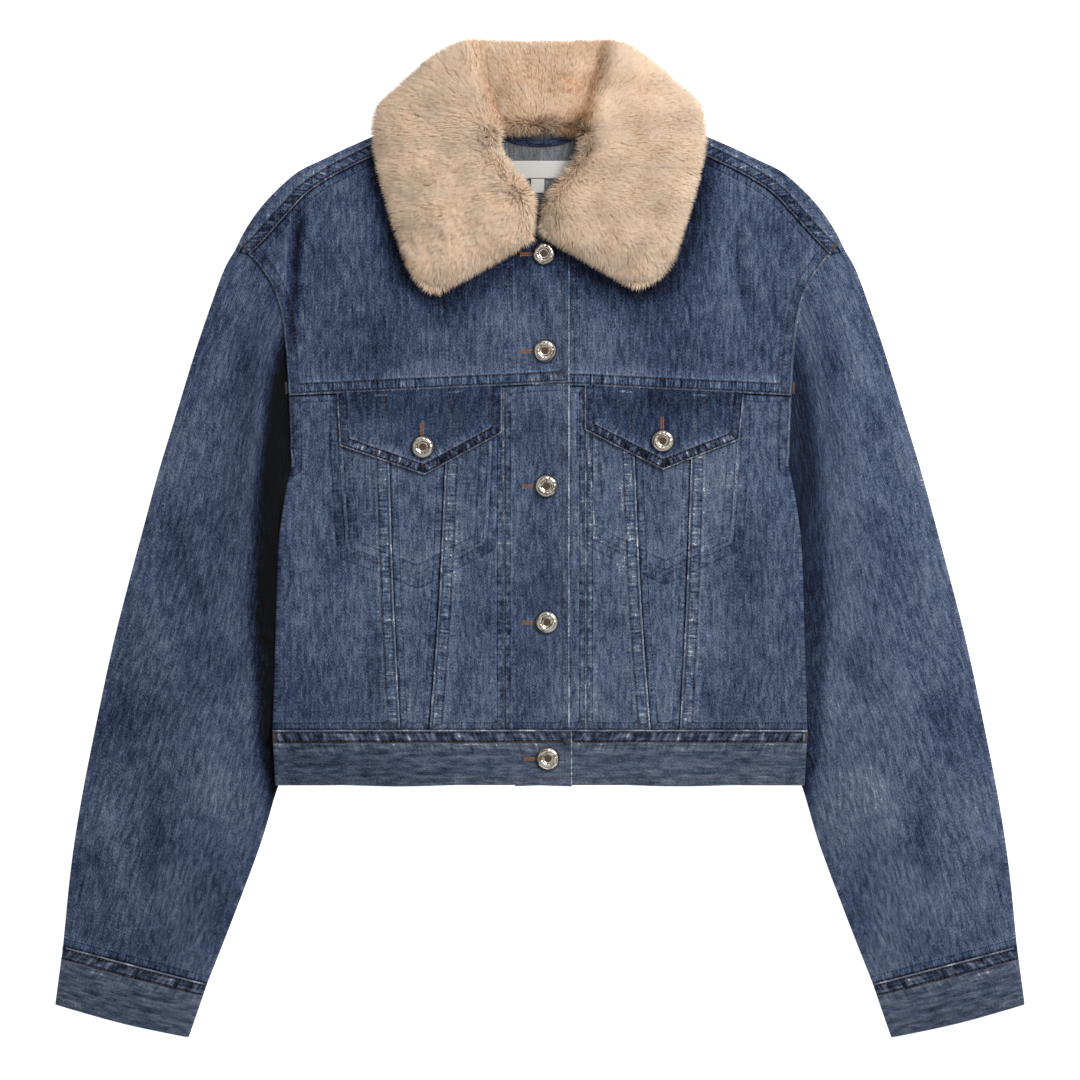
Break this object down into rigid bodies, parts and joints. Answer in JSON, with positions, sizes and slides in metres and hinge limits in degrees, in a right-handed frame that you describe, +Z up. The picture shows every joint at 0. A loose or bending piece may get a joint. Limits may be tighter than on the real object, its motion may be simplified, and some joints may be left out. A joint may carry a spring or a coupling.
{
  "type": "denim jacket with a sherpa fur collar",
  "caption": "Cropped button-front denim jacket with a plush faux-fur collar, flap chest pockets and a waistband, laid flat on its back.",
  "frame": {"origin": "centre of the laid jacket's outline, on the surface it lies on", "axes": "+Z up out of the surface towards the jacket's front, +Y from hem to collar, +X to the wearer's left"},
  "size_m": [0.7748, 0.7957, 0.027],
  "materials": {
    "washed_denim": "matt washed cotton twill",
    "dark_denim": "matt cotton twill, darker, puckered along its seams",
    "denim_reverse": "matt grey reverse of the twill",
    "cream_fur": "short dense pile",
    "label_satin": "satin woven label, bare",
    "nickel": "polished, with a sunk darker disc"
  },
  "bodies": {
    "root": {"back_yoke": "washed_denim", "back_panel": "washed_denim", "front_yoke_right": "washed_denim", "front_side_right": "washed_denim", "front_middle_right": "washed_denim", "front_centre_right": "washed_denim", "placket_right": "washed_denim", "sleeve_right": "washed_denim", "front_yoke_left": "washed_denim", "front_side_left": "washed_denim", "front_middle_left": "washed_denim", "front_centre_left": "washed_denim", "placket_left": "washed_denim", "sleeve_left": "washed_denim", "waistband_right": "dark_denim", "waistband_left": "dark_denim", "waistband_back": "dark_denim", "cuff_right": "dark_denim", "cuff_left": "dark_denim", "pocket_flap_right": "dark_denim", "pocket_flap_left": "dark_denim", "undercollar": "dark_denim", "hanger_loop": "dark_denim", "pocket_bag_right": "denim_reverse", "pocket_bag_left": "denim_reverse", "collar_fur": "cream_fur", "neck_label": "label_satin", "size_tab": "label_satin", "button_front_1": "nickel", "button_front_2": "nickel", "button_front_3": "nickel", "button_front_4": "nickel", "button_front_5": "nickel", "button_pocket_right": "nickel", "button_pocket_left": "nickel"}
  },
  "joints": []
}
